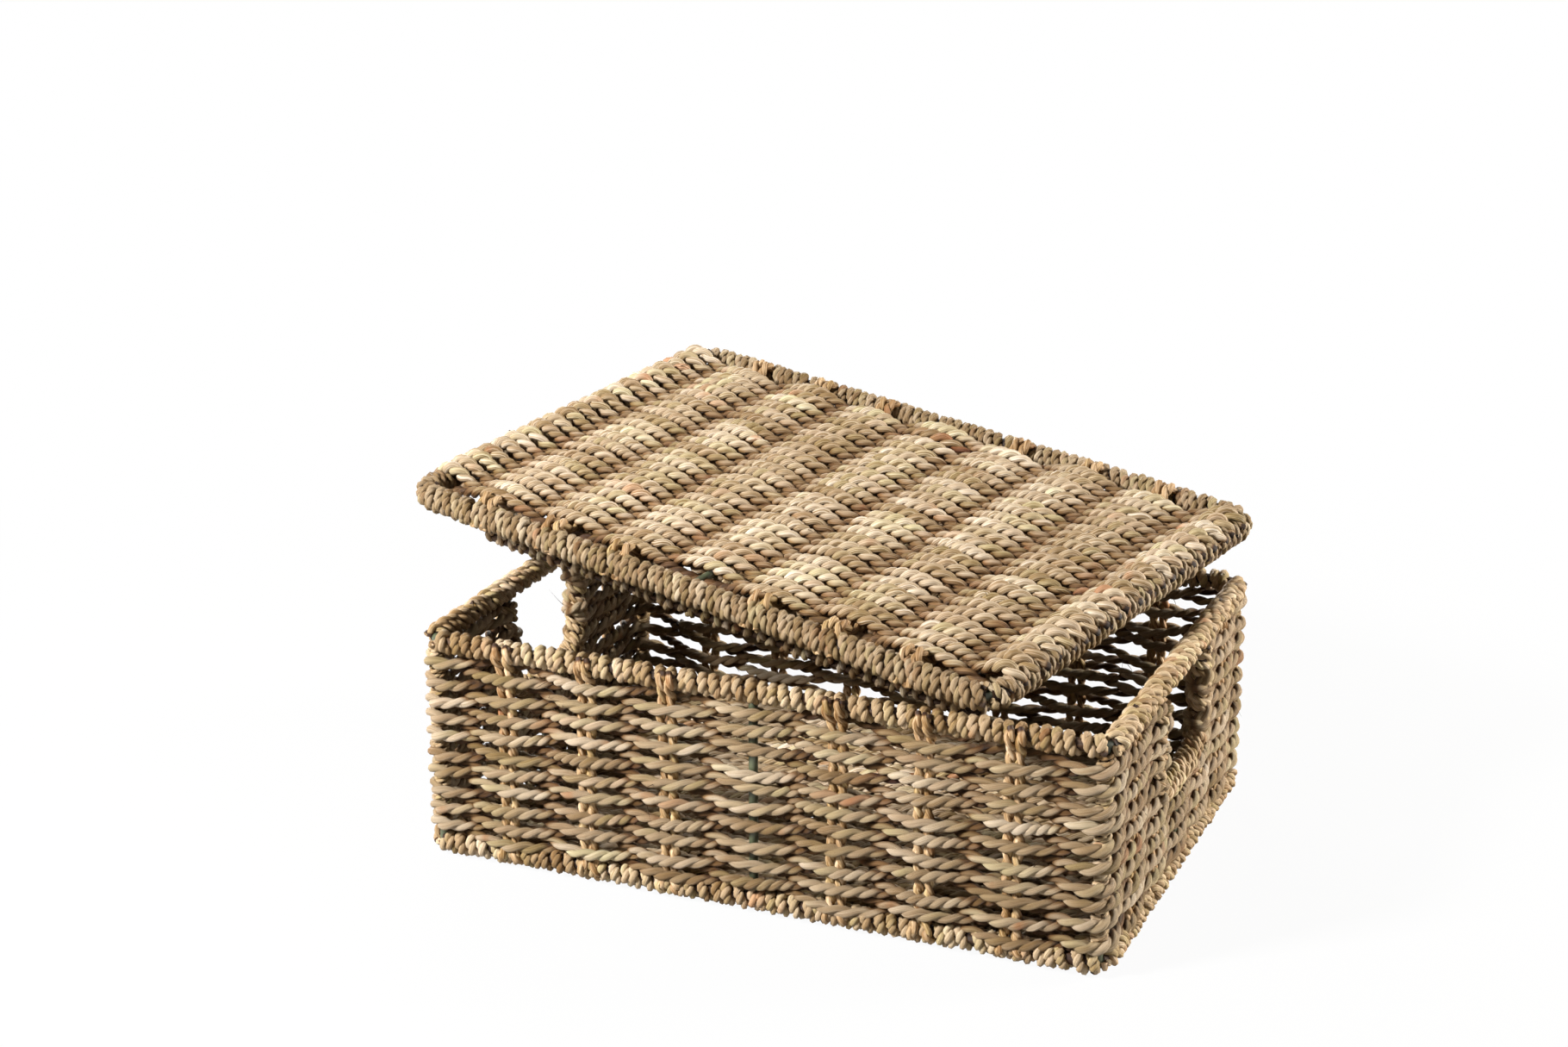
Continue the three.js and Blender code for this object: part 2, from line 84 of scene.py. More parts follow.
def multiplied(tree, first, second):
    blend = {"data_type": "RGBA", "blend_type": "MULTIPLY"}
    return addNode(tree, "ShaderNodeMix", blend, in0=1.0, in6=first, in7=second).outputs[2]


grass = {
    "tones": [
        (0.53, (84, 58, 28)),
        (0.61, (130, 104, 70)),
        (0.69, (185, 165, 140)),
        (0.77, (230, 219, 204)),
        (0.86, (251, 246, 238)),
    ],
    "tints": [
        (0.0, (236, 188, 158)),
        (0.03, (248, 224, 204)),
        (0.09, (255, 250, 243)),
        (0.3, (255, 255, 252)),
        (0.58, (255, 255, 248)),
        (0.8, (250, 252, 234)),
        (1.0, (241, 246, 216)),
    ],
    # painted shade in the grooves between plies, read from the crest layer
    "creaseShade": [
        (0.0, (12, 7, 2)),
        (0.26, (54, 36, 18)),
        (0.46, (144, 116, 82)),
        (0.72, (255, 255, 255)),
    ],
    # painted shade near the middle of the weave, where the ropes cross, read from the hollow layer
    "hollowShade": [(0.0, (78, 53, 27)), (0.4, (174, 147, 113)), (0.85, (255, 255, 255))],
    "fibres": {"across": 26.0, "along": 70.0, "detail": 4.0, "seed": 1.0, "weight": 0.34},
    "blades": {"across": 5.0, "along": 42.0, "detail": 2.0, "seed": 5.0, "weight": 0.2},
    "grainRoughness": 0.6,
    "toneWeight": 0.75,
    "meanTone": 0.5,
    "roughness": 0.58,
    "gloss": 0.24,
    "bump": 0.75,
    "bumpDepth": 0.0006,
}


def strandNoise(tree, around, along, grain):
    across = mathNode(tree, "MULTIPLY", around, grain["across"])
    length = mathNode(tree, "MULTIPLY", along, grain["along"])
    place = addNode(tree, "ShaderNodeCombineXYZ", in0=across, in1=length, in2=grain["seed"])
    noise = addNode(
        tree,
        "ShaderNodeTexNoise",
        Vector=place.outputs[0],
        Scale=1.0,
        Detail=grain["detail"],
        Roughness=grass["grainRoughness"],
    )
    return noise.outputs[0]


def grassMaterial(name, shade, variety=1.0):
    made = bpy.data.materials.new(name)
    made.use_nodes = True
    tree = made.node_tree
    surface = tree.nodes["Principled BSDF"]
    place = addNode(tree, "ShaderNodeUVMap", {"uv_map": "UVMap"})
    parts = addNode(tree, "ShaderNodeSeparateXYZ", in0=place.outputs[0])
    around, along = parts.outputs[0], parts.outputs[1]
    fibres = strandNoise(tree, around, along, grass["fibres"])
    blades = strandNoise(tree, around, along, grass["blades"])

    def carried(layer):
        return addNode(tree, "ShaderNodeAttribute", {"attribute_name": layer}).outputs["Fac"]

    evened = grass["toneWeight"] * grass["meanTone"] * (1 - variety)
    tone = mathNode(tree, "MULTIPLY_ADD", carried("tone"), grass["toneWeight"] * variety, evened)
    tone = mathNode(tree, "MULTIPLY_ADD", blades, grass["blades"]["weight"], tone)
    tone = mathNode(tree, "MULTIPLY_ADD", fibres, grass["fibres"]["weight"], tone)
    colour = rampNode(tree, tone, grass["tones"])
    # crest and hollow paint shade into the colour: dark in the grooves between plies and near the
    # middle of the weave
    for layer, stops in (("hue", "tints"), ("crest", "creaseShade"), ("hollow", "hollowShade")):
        colour = multiplied(tree, colour, rampNode(tree, carried(layer), grass[stops]))
    colour = multiplied(tree, colour, (*shade, 1))
    tree.links.new(colour, surface.inputs["Base Color"])
    surface.inputs["Roughness"].default_value = grass["roughness"]
    surface.inputs["Specular IOR Level"].default_value = grass["gloss"]
    bump = addNode(
        tree,
        "ShaderNodeBump",
        Strength=grass["bump"],
        Distance=grass["bumpDepth"],
        Height=mathNode(tree, "ADD", fibres, blades),
    )
    tree.links.new(bump.outputs[0], surface.inputs["Normal"])
    return made


coat = {"shades": [(0.3, (52, 56, 42)), (0.7, (78, 83, 64))], "grain": 180.0, "roughness": 0.38}


def coatMaterial():
    made = bpy.data.materials.new("greenCoat")
    made.use_nodes = True
    tree = made.node_tree
    surface = tree.nodes["Principled BSDF"]
    place = addNode(tree, "ShaderNodeTexCoord").outputs["Object"]
    noise = addNode(tree, "ShaderNodeTexNoise", Vector=place, Scale=coat["grain"], Detail=2.0)
    colour = rampNode(tree, noise.outputs[0], coat["shades"])
    tree.links.new(colour, surface.inputs["Base Color"])
    surface.inputs["Roughness"].default_value = coat["roughness"]
    return made


weaverGrass = grassMaterial("weaverGrass", (0.84, 0.84, 0.85))
lidGrass = grassMaterial("lidGrass", (0.82, 0.845, 0.89), 0.9)
bindingGrass = grassMaterial("bindingGrass", (0.96, 0.93, 0.88))
# The lid border: a darker copy of the binding grass, painted shade for a border that faces away
# from the light.
shadedBorderGrass = grassMaterial("shadedBorderGrass", (0.69, 0.67, 0.64))
stakeGrass = grassMaterial("stakeGrass", (0.74, 0.64, 0.52))
fibreGrass = grassMaterial("fibreGrass", (1.0, 0.97, 0.9))
greenCoat = coatMaterial()
print("stage: materials")


# Strand making: paths in millimetres, twisted into two plies and swept as tubes.
# Pairs of waves are the longest and the shortest; a patch is the length of an even tone.

waves = {"count": 4, "shortened": 0.8, "stretched": 1.25}
cord = {
    "fewestSteps": 6,
    "layWaves": (260, 50),
    "reachVary": 0.08,
    "reachWaves": (90, 20),
    "girthVary": 0.06,
    "girthWaves": (70, 12),
    "crestShare": 0.6,
    "tone": 0.51,
    "ropeTone": 0.05,
    "ropePatch": 70,
    "fleckTone": 0.02,
    "fleckPatch": 9,
    "plyTone": 0.035,
    "plyPatch": 26,
    "huePatch": 22,
    "uvShift": 40,
}
# Strands without plies get one fixed level of painted crease shade.
plain = {"crest": 0.3, "tone": 0.5, "toneVary": 0.1, "patch": 40}
# Painted shade near the middle of the weave: darkest at near, none past far, in millimetres off the
# middle.
hollow = {"near": -0.2, "far": 3.1}
winding = {
    "stepsPerTurn": 20,
    "pitchVary": 0.22,
    "pitchWaves": (60, 12),
    "radiusVary": 0.06,
    "radiusWaves": (60, 6),
}


def wander(s, longest, shortest):
    total = np.zeros_like(s)
    for wave in np.geomspace(longest, shortest, waves["count"]):
        wave *= rng.uniform(waves["shortened"], waves["stretched"])
        total += np.sin(turn * (s / wave + rng.uniform()))
    return total / 2


def patches(s, step):
    knots = np.arange(-1, s[-1] / step + 2)
    return np.interp(s / step + rng.uniform(), knots, rng.uniform(-1, 1, len(knots)))


def lengthAlong(path):
    return np.concatenate([[0.0], np.cumsum(np.linalg.norm(np.diff(path, axis=0), axis=1))])


def spread(s, length, values):
    return np.stack([np.interp(s, length, column) for column in values.T], axis=1)


def unit(vectors):
    return vectors / np.maximum(np.linalg.norm(vectors, axis=1, keepdims=True), 1e-9)


def constant(vector, count):
    return np.repeat([vector], count, axis=0)


def twist(path, outward, rope, squeeze=None):
    length = lengthAlong(path)
    count = max(cord["fewestSteps"], int(length[-1] / rope["lay"] * rope["perTurn"]))
    s = np.linspace(0, length[-1], count)
    centre, out = spread(s, length, path), spread(s, length, outward)
    forward = unit(np.gradient(centre, axis=0))
    out = unit(out - forward * np.sum(out * forward, axis=1, keepdims=True))
    side = np.cross(forward, out)
    size = np.ones(count) if squeeze is None else np.interp(s, length, squeeze)
    lay = rope["lay"] * (1 + rope["vary"] * wander(s, *cord["layWaves"]))
    angle = rng.uniform(0, turn) - turn * np.cumsum(np.gradient(s) / lay) * rope.get("hand", 1)
    # deep is the groove between the plies; crest is the height where the painted crease shade ends.
    deep = math.sqrt(max(rope["ply"] ** 2 - rope["helix"] ** 2, 0.0))
    crest = deep + cord["crestShare"] * (rope["ply"] + rope["helix"] - deep)
    shade = cord["tone"] + cord["ropeTone"] * patches(s, cord["ropePatch"])
    shade += cord["fleckTone"] * patches(s, cord["fleckPatch"])
    plies = []
    for half in (0, np.pi):
        reach = rope["helix"] * size * (1 + cord["reachVary"] * wander(s, *cord["reachWaves"]))
        ring = np.cos(angle + half)[:, None] * out + np.sin(angle + half)[:, None] * side
        radii = rope["ply"] * size * (1 + cord["girthVary"] * wander(s, *cord["girthWaves"]))
        tone = shade + cord["plyTone"] * patches(s, cord["plyPatch"])
        lie = (centre, deep * size, crest * size, tone)
        plies.append((centre + reach[:, None] * ring, radii, lie))
    return plies


def wound(axis, first, second, wrap, start):
    length = lengthAlong(axis)
    turns = length[-1] / (wrap["pitch"] * wrap["starts"])
    t = np.linspace(0, 1, int(turns * winding["stepsPerTurn"]) + 2)
    s = t * length[-1]
    drift = winding["pitchVary"] * wrap["pitch"] * wander(s, *winding["pitchWaves"])
    warped = np.clip(s + drift, 0, length[-1])
    angle = turn * (turns * t * wrap["hand"] + start)
    vary = winding["radiusVary"] * wander(s, *winding["radiusWaves"])
    radius = wrap["radius"] * (1 + vary)
    out = np.cos(angle)[:, None] * spread(warped, length, first)
    out += np.sin(angle)[:, None] * spread(warped, length, second)
    return spread(warped, length, axis) + radius[:, None] * out, out


def tubeMesh(name, points, radii, roundness):
    curve = bpy.data.curves.new(name, "CURVE")
    curve.dimensions = "3D"
    curve.bevel_depth = 1.0
    curve.bevel_resolution = roundness
    curve.use_fill_caps = True
    spline = curve.splines.new("POLY")
    spline.points.add(len(points) - 1)
    spline.points.foreach_set("co", np.c_[points * mm, np.ones(len(points))].ravel())
    spline.points.foreach_set("radius", np.broadcast_to(radii, len(points)) * mm)
    holder = bpy.data.objects.new(name, curve)
    bpy.context.scene.collection.objects.link(holder)
    graph = bpy.context.evaluated_depsgraph_get()
    tube = bpy.data.meshes.new_from_object(holder.evaluated_get(graph))
    bpy.data.objects.remove(holder)
    bpy.data.curves.remove(curve)
    return tube


# Each strand carries its place along the rope as UV, and four layers that its material reads: tone
# and hue, its own random colour; crest and hollow, painted shade in the grooves between plies and
# near the middle of the weave.
def paintStrand(tube, points, lie, offMiddle):
    count = len(tube.vertices)
    s = lengthAlong(points)
    layer = tube.uv_layers[0]
    layer.name = "UVMap"
    uv = np.zeros(len(tube.loops) * 2, np.float32)
    layer.uv.foreach_get("vector", uv)
    uv[1::2] = uv[1::2] * s[-1] * mm + rng.uniform(0, cord["uvShift"])
    layer.uv.foreach_set("vector", uv)
    flat = np.zeros(count * 3, np.float32)
    tube.vertices.foreach_get("co", flat)
    places = flat.reshape(-1, 3) / mm
    crest = np.full(count, plain["crest"])
    tone = plain["tone"] + plain["toneVary"] * patches(s, plain["patch"])
    rim = count // (len(points) + 2)  # the two caps are rings too
    # crest: height of each point above the groove between plies, which the material turns into
    # painted shade
    if lie is not None:
        centre, deep, top, tone = lie
        rings = places[: rim * len(points)].reshape(len(points), rim, 3)
        depth = np.linalg.norm(rings - centre[:, None], axis=2)
        height = np.clip((depth - deep[:, None]) / (top - deep)[:, None], 0, 1)
        crest[: rim * len(points)] = height.ravel()
    hue = 0.5 + 0.5 * patches(s, cord["huePatch"])
    # hollow: painted shade that fades out with distance from the middle of the weave
    out = np.ones(count)
    if offMiddle is not None:
        off = np.abs(offMiddle(places))
        out = np.clip((off - hollow["near"]) / (hollow["far"] - hollow["near"]), 0, 1)
    tone, hue = (np.resize(np.repeat(v, max(rim, 1)), count) for v in (tone, hue))
    for key, values in (("crest", crest), ("tone", tone), ("hue", hue), ("hollow", out)):
        carrier = tube.attributes.new(key, "FLOAT", "POINT")
        carrier.data.foreach_set("value", values.astype(np.float32))


def makePiece(name, body, nodes, strands, material, roundness=2, offMiddle=None):
    whole = bmesh.new()
    for points, radii, lie in strands:
        tube = tubeMesh(name, points, radii, roundness)
        paintStrand(tube, points, lie, offMiddle)
        whole.from_mesh(tube)
        bpy.data.meshes.remove(tube)
    mesh = bpy.data.meshes.new(name)
    whole.to_mesh(mesh)
    whole.free()
    mesh.shade_smooth()
    mesh.materials.append(material)
    made = bpy.data.objects.new(name, mesh)
    bpy.context.scene.collection.objects.link(made)
    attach(made, body)
    if nodes:
        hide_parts(*nodes)
    print("stage:", name, len(strands), "strands,", len(mesh.polygons), "faces")
    return strands


# Box walls: a rounded loop with its stakes, from the rear left corner round by the front.

wallNames = ("left", "front", "right", "rear")
sideNames = ("front", "rear", "left", "right")
box = {
    "halfX": 155.0,
    "halfY": 105.0,
    "corner": 8.0,
    "seamAngle": 135,
    "rimZ": 102.0,
    "baseZ": 4.0,
    "footZ": 6.7,
    "bays": (6, 8, 6, 8),
    "holeHalf": 35.0,
    "holeZ": 48.0,
    "holeCorner": 16.0,
}
weave = {
    "bottom": 9.4,
    "pitch": 8.64,
    "lowerRows": 4,
    "upperRows": 6,
    "step": 1.0,
    "standOff": 4.3,
    "lean": 0.7,
    "sway": 1.1,
    "swayWaves": (400, 70),
    "fullness": 0.97,
    "pinch": 0.15,
    "cornerSwell": 0.07,
    "cornerReach": 8,
    "sideFlat": 0.52,
    "climbLength": 42,
    "endShort": 20,
    "legReach": (6.4, 4.9),
    "turnSteps": 14,
    "turnMargin": 0.15,
    "turnSqueeze": 0.87,
}
wallRope = {
    "ply": 1.77,
    "helix": 1.17,
    "lay": 15.0,
    "perTurn": 13,
    "vary": 0.25,
    "split": 2.16,
    "sideSwell": 0.08,
}
rearRope = {
    "ply": 1.62,
    "helix": 1.08,
    "lay": 15.0,
    "perTurn": 13,
    "vary": 0.22,
    "split": 0.2,
    "sideSwell": 0.17,
}
loopSteps = 13  # points round each corner of the loop


def wallLoop():
    inX, inY = box["halfX"] - box["corner"], box["halfY"] - box["corner"]
    centres = [(-inX, inY), (-inX, -inY), (inX, -inY), (inX, inY), (-inX, inY)]
    seam = box["seamAngle"]
    points, angles = [], []
    for k, centre in enumerate(centres):
        first, last = max(seam, 90 + 90 * k), min(seam + 360, 180 + 90 * k)
        swing = np.linspace(first, last, loopSteps)
        bend = np.radians(swing)
        points.append(np.array(centre) + box["corner"] * np.c_[np.cos(bend), np.sin(bend)])
        angles.append(swing)
    flat = np.concatenate(points)
    return lengthAlong(flat), flat, np.concatenate(angles)


loopS, loopXY, loopAngle = wallLoop()
loopLength = loopS[-1]


def stakeS(wall, column):
    first = loopSteps * wall
    if column == 0:
        return loopS[first + loopSteps // 2] if wall else 0.0
    span = 2 * (box["halfY"] if wall % 2 == 0 else box["halfX"])
    return loopS[first + loopSteps - 1] + span / box["bays"][wall] * column - box["corner"]


stations = [stakeS(wall, c) for wall in range(4) for c in range(box["bays"][wall])] + [loopLength]
stationPhase = np.pi * np.arange(len(stations))
cornerS = np.array([stakeS(wall, 0) for wall in range(4)] + [loopLength])


def wallFrame(s):
    around = np.mod(s, loopLength)
    angle = np.radians(np.interp(around, loopS, loopAngle))
    return spread(around, loopS, loopXY), np.c_[np.cos(angle), np.sin(angle), np.zeros_like(angle)]


def wallPath(s, level, strand, sway, rope):
    around = np.mod(s, loopLength)
    phase = np.interp(around, stations, stationPhase)
    flat, out = wallFrame(s)
    onSide = out[:, 0] ** 2
    offset = strand * weave["standOff"] * np.cos(phase) * (1 - weave["sideFlat"] * onSide)
    parted = np.maximum(onSide, np.sin(phase) ** 2)  # the rear pairs part only where they cross
    height = level + strand * (rope["split"] + (wallRope["split"] - rope["split"]) * parted) + sway
    height += weave["lean"] * strand * np.cos(phase) * out[:, 1]
    path = np.c_[flat, height] + offset[:, None] * out
    toCorner = np.min(np.abs(around[:, None] - cornerS[None, :]), axis=1)
    atCorner = np.exp(-((toCorner / weave["cornerReach"]) ** 2))
    swell = weave["cornerSwell"] * atCorner * (offset > 0) + rope["sideSwell"] * onSide
    return path, out, weave["fullness"] - weave["pinch"] * np.sin(phase) ** 2 + swell


# Distance from the middle of the walls, for their painted shade.
def wallDepth(points):
    inner = np.array([box["halfX"], box["halfY"]]) - box["corner"]
    past = np.abs(points[:, :2]) - inner
    rounded = np.linalg.norm(np.maximum(past, 0), axis=1)
    return rounded + np.minimum(past.max(axis=1), 0) - box["corner"]


def rowLevel(row):
    return weave["bottom"] + (row + 0.5) * weave["pitch"]


def lowerRopes():
    s = np.arange(0, loopLength * weave["lowerRows"] - weave["endShort"], weave["step"])
    climbStart = loopLength - weave["climbLength"]
    climb = np.interp(np.mod(s, loopLength), [0, climbStart, loopLength], [0, 0, 1])
    level = rowLevel(0) + (np.floor(s / loopLength) + climb) * weave["pitch"]
    level = np.minimum(level, rowLevel(weave["lowerRows"] - 1))
    sway = weave["sway"] * wander(s, *weave["swayWaves"])
    strands = []
    for strand in (1, -1):
        path, out, squeeze = wallPath(s, level, strand, sway, wallRope)
        strands.append(twist(path, out, wallRope, squeeze))
    return strands


# The turn of an upper rope round the wire of a hand hole, up to the next row.
def legTurn(s, row, side, forth, rope):
    flat, out = wallFrame(np.array([s]))
    steps = weave["turnSteps"]
    beta = np.linspace(weave["turnMargin"], np.pi - weave["turnMargin"], steps)
    toHole = np.array([-out[0][1], out[0][0], 0]) * forth
    reach = weave["legReach"][0 if side > 0 else 1]
    across, ahead = side * np.cos(beta)[:, None] * out[0], np.sin(beta)[:, None] * toHole
    apart = side * wallRope["split"]
    height = rowLevel(row) + apart + (weave["pitch"] - 2 * apart) * beta / np.pi
    upright = np.c_[np.repeat(flat, steps, axis=0), height]
    path = upright + weave["standOff"] * across + reach * ahead
    return path, unit(across + ahead), np.full(steps, weave["turnSqueeze"] + rope["sideSwell"])


def upperRopes(first, last, rope):
    rows = range(weave["lowerRows"], weave["lowerRows"] + weave["upperRows"])
    there = np.arange(first, last, weave["step"])
    sways = [weave["sway"] * wander(there, *weave["swayWaves"]) for _ in rows]
    strands = []
    for strand in (1, -1):
        runs = []
        for k, row in enumerate(rows):
            forth = 1 if k % 2 == 0 else -1
            side = strand * forth
            level = np.full(len(there), rowLevel(row))
            runs.append(wallPath(there[::forth], level, side, sways[k][::forth], rope))
            if row != rows[-1]:
                runs.append(legTurn(last if forth > 0 else first, row, side, forth, rope))
        path, out, squeeze = (np.concatenate(column) for column in zip(*runs))
        strands.append(twist(path, out, rope, squeeze))
    return strands


wallRuns = {
    "lower": lowerRopes(),
    "front": upperRopes(stakeS(0, 4), stakeS(2, 2), wallRope),
    "rear": upperRopes(stakeS(2, 4), stakeS(0, 2) + loopLength, rearRope),
}
boxStrands = []
for run, pair in wallRuns.items():
    for strands, letter in zip(pair, "ab"):
        boxStrands += makePiece(
            f"{run}Weaver{letter.upper()}",
            "box",
            [f"{run}_weaver_{letter}"],
            strands,
            weaverGrass,
            offMiddle=wallDepth,
        )


# Frame wires of the box.

wire = {"radius": 2.0, "postInset": 2.343, "roundness": 4}
ringSteps = 9  # points round each corner of a ring


def ringPath(halfX, halfY, corner, z):
    inX, inY = halfX - corner, halfY - corner
    points = []
    for k, centre in enumerate([(inX, -inY), (inX, inY), (-inX, inY), (-inX, -inY)]):
        bend = np.radians(np.linspace(270 + 90 * k, 360 + 90 * k, ringSteps))
        points.append(np.array(centre) + corner * np.c_[np.cos(bend), np.sin(bend)])
    flat = np.concatenate(points)
    flat = np.concatenate([flat, flat[:1]])
    return np.c_[flat, np.full(len(flat), z)]


def boxRing(z):
    return ringPath(box["halfX"], box["halfY"], box["corner"], z)


def holePath(x):
    half, bottom, r = box["holeHalf"], box["holeZ"], box["holeCorner"]
    bend = np.radians(np.linspace(180, 270, ringSteps))
    left = np.c_[-half + r + r * np.cos(bend), bottom + r + r * np.sin(bend)]
    right = np.c_[-left[::-1, 0], left[::-1, 1]]
    flat = np.concatenate([[[-half, box["rimZ"]]], left, right, [[half, box["rimZ"]]]])
    return np.c_[np.full(len(flat), x), flat]


postX, postY = box["halfX"] - wire["postInset"], box["halfY"] - wire["postInset"]
cornerPosts = [(sx * postX, sy * postY) for sx in (-1, 1) for sy in (-1, 1)]


def boxWires():
    paths = [boxRing(box["rimZ"]), boxRing(box["footZ"])]
    for x, y in cornerPosts + [(0, -box["halfY"]), (0, box["halfY"])]:
        paths.append(np.array([[x, y, box["baseZ"]], [x, y, box["rimZ"]]], float))
    for x in (-box["halfX"], box["halfX"]):
        paths.append(np.array([[x, 0, box["baseZ"]], [x, 0, box["holeZ"]]], float))
        paths.append(holePath(x))
    return [(path, wire["radius"], None) for path in paths]


makePiece(
    "boxWires",
    "box",
    ["box_frame"],
    boxWires(),
    greenCoat,
    roundness=wire["roundness"],
)


# Stakes: one cord doubled over, its two legs side by side.

stake = {
    "spacing": 4.6,
    "low": 3.6,
    "high": 106.0,
    "steps": 70,
    "underHole": 2,
    "holeSlack": 1,
    "proud": 0.4,
    "longProud": 1.3,
    "lean": 0.5,
    "leanWaves": (120, 40),
    "legSway": 0.25,
    "legWaves": (60, 20),
}
stakeFoot = {"from": 12, "over": -6, "proud": 3.8, "spread": 3.4}
stakeHead = {"from": 95, "over": 6, "proud": 4.2, "spread": 2.5}
stakeTop = {"from": 104, "over": 3, "sink": 3.0}
stakeTuck = {"from": 6.8, "over": -3.2, "sink": 4.2}
stakeCord = {"ply": 1.45, "helix": 0.95, "lay": 12.0, "perTurn": 10, "vary": 0.15}


def stakeLegs(x, y, out, high):
    count = stake["steps"]
    z = stake["low"] + (high - stake["low"]) * np.linspace(0, 1, count)

    def eased(zone):
        return np.clip((z - zone["from"]) / zone["over"], 0, 1)

    beside = np.array([-out[1], out[0], 0.0])
    loops = abs(out[1])  # only the stakes of the long walls show over the bindings
    foot, head = loops * eased(stakeFoot), loops * eased(stakeHead)
    proud = stake["proud"] + stake["longProud"] * loops
    proud = proud + stakeFoot["proud"] * foot + stakeHead["proud"] * head
    for zone in (stakeTop, stakeTuck):
        proud -= zone["sink"] * eased(zone)
    lean = stake["lean"] * wander(z, *stake["leanWaves"])
    strands = []
    for sign in (-0.5, 0.5):
        parting = rng.uniform(-stakeHead["spread"], stakeHead["spread"])
        apart = stake["spacing"] + stakeFoot["spread"] * foot ** 2 + parting * head
        shift = sign * apart + lean + stake["legSway"] * wander(z, *stake["legWaves"])
        path = np.c_[np.full(count, x), np.full(count, y), z]
        path += shift[:, None] * beside + proud[:, None] * out
        strands += twist(path, constant(out, count), stakeCord)
    return strands


def wallStakes():
    strands = []
    for wall, bays in enumerate(box["bays"]):
        for column in range(1, bays):
            if column * 2 == bays:
                continue
            flat, out = wallFrame(np.array([stakeS(wall, column)]))
            besideHole = abs(flat[0][1]) < box["holeHalf"] + stake["holeSlack"]
            underHole = wall % 2 == 0 and besideHole
            high = box["holeZ"] - stake["underHole"] if underHole else stake["high"]
            strands += stakeLegs(flat[0][0], flat[0][1], out[0], high)
    return strands


def stakeNodes():
    names = []
    for side in sideNames:
        bays = box["bays"][wallNames.index(side)]
        names += [f"stake_{side}_{c}" for c in range(1, bays) if c * 2 != bays]
    return names


makePiece(
    "wallStakes", "box", stakeNodes(), wallStakes(), stakeGrass, roundness=1
)


# Bindings wound round the rings: thick rope on the long sides, finer rope on the short ones.

bindingRope = {"ply": 1.5, "helix": 1.15, "lay": 7.4, "perTurn": 8, "vary": 0.2, "hand": -1}
fineRope = {"ply": 1.2, "helix": 0.85, "lay": 9.0, "perTurn": 9, "vary": 0.2, "hand": -1}
slantRope = {"ply": 1.4, "helix": 1.05, "lay": 10.0, "perTurn": 10, "vary": 0.25, "hand": 1}
postRope = {"ply": 0.9, "helix": 0.5, "lay": 9.0, "perTurn": 8, "vary": 0.2}
rimWrap = {"radius": 3.1, "pitch": 5.2, "hand": -1, "starts": 1, "core": 2.6}
rimFineWrap = {"radius": 3.4, "pitch": 4.6, "hand": -1, "starts": 2, "core": 2.9}
baseWrap = {"radius": 3.2, "pitch": 5.4, "hand": -1, "starts": 1, "core": 2.7}
baseSideWrap = {"radius": 3.2, "pitch": 4.4, "hand": -1, "starts": 2, "core": 2.8}
postWrap = {"radius": 2.7, "pitch": 2.5, "hand": 1, "starts": 1, "core": 2.5}
holeWrap = {"radius": 3.6, "pitch": 4.2, "hand": -1, "starts": 2, "core": 3.0}
post = {"low": 13, "high": 98.5, "steps": 12}
bare = {"rim": 2.2, "base": 1.4, "hole": 6, "lid": 1.1, "lip": 0.5}  # unbound at each end of a run
runSteps = 120
holeSteps = 90


def sideRuns(ring, bareEnd):
    length = lengthAlong(ring)
    corners = [length[ringSteps * k + ringSteps // 2] for k in range(4)]
    corners.append(length[-1] + corners[0])
    twice = np.concatenate([ring, ring[1:]])
    twiceLength = lengthAlong(twice)
    runs = []
    for first, last in zip(corners[:-1], corners[1:]):
        s = np.linspace(first + bareEnd, last - bareEnd, runSteps)
        axis = spread(s, twiceLength, twice)
        up = constant([0.0, 0.0, 1.0], len(axis))
        runs.append((axis, np.cross(unit(np.gradient(axis, axis=0)), up), up))
    return runs


def bindRun(run, wrap, rope):
    strands = [(run[0], wrap["core"], None)]
    for start in range(wrap["starts"]):
        path, out = wound(*run, wrap, start / wrap["starts"])
        strands += twist(path, out, rope)
    return strands


def ringBinding(ring, bareEnd, longWrap, longRope, shortWrap, shortRope):
    strands = []
    for k, run in enumerate(sideRuns(ring, bareEnd)):
        strands += bindRun(run, *((shortWrap, shortRope) if k % 2 == 0 else (longWrap, longRope)))
    return strands


def postBinding():
    strands = []
    count = post["steps"]
    for corner in cornerPosts:
        axis = np.c_[constant(corner, count), np.linspace(post["low"], post["high"], count)]
        run = (axis, constant([1.0, 0.0, 0.0], count), constant([0.0, 1.0, 0.0], count))
        strands += bindRun(run, postWrap, postRope)
    return strands


def holeBinding():
    strands = []
    for x in (-box["halfX"], box["halfX"]):
        ends = holePath(x)
        length = lengthAlong(ends)
        path = spread(np.linspace(bare["hole"], length[-1] - bare["hole"], holeSteps), length, ends)
        ahead = unit(np.gradient(path, axis=0))
        across = constant([1.0, 0.0, 0.0], len(path))
        strands += bindRun((path, across, np.cross(ahead, across)), holeWrap, fineRope)
    return strands


rimRing, baseRing = boxRing(box["rimZ"]), boxRing(box["footZ"])
makePiece(
    "rimBinding",
    "box",
    [f"rim_binding_{side}" for side in sideNames],
    ringBinding(rimRing, bare["rim"], rimWrap, bindingRope, rimFineWrap, slantRope) + postBinding(),
    bindingGrass,
    roundness=1,
)
makePiece(
    "baseBinding",
    "box",
    [f"base_binding_{side}" for side in sideNames],
    ringBinding(baseRing, bare["base"], baseWrap, bindingRope, baseSideWrap, slantRope),
    bindingGrass,
    roundness=1,
)
makePiece(
    "holeBindings",
    "box",
    ["hand_hole_binding_left", "hand_hole_binding_right"],
    holeBinding(),
    bindingGrass,
    roundness=1,
)


# Panels of the base and the lid: pairs of ropes that change places, row beside row.


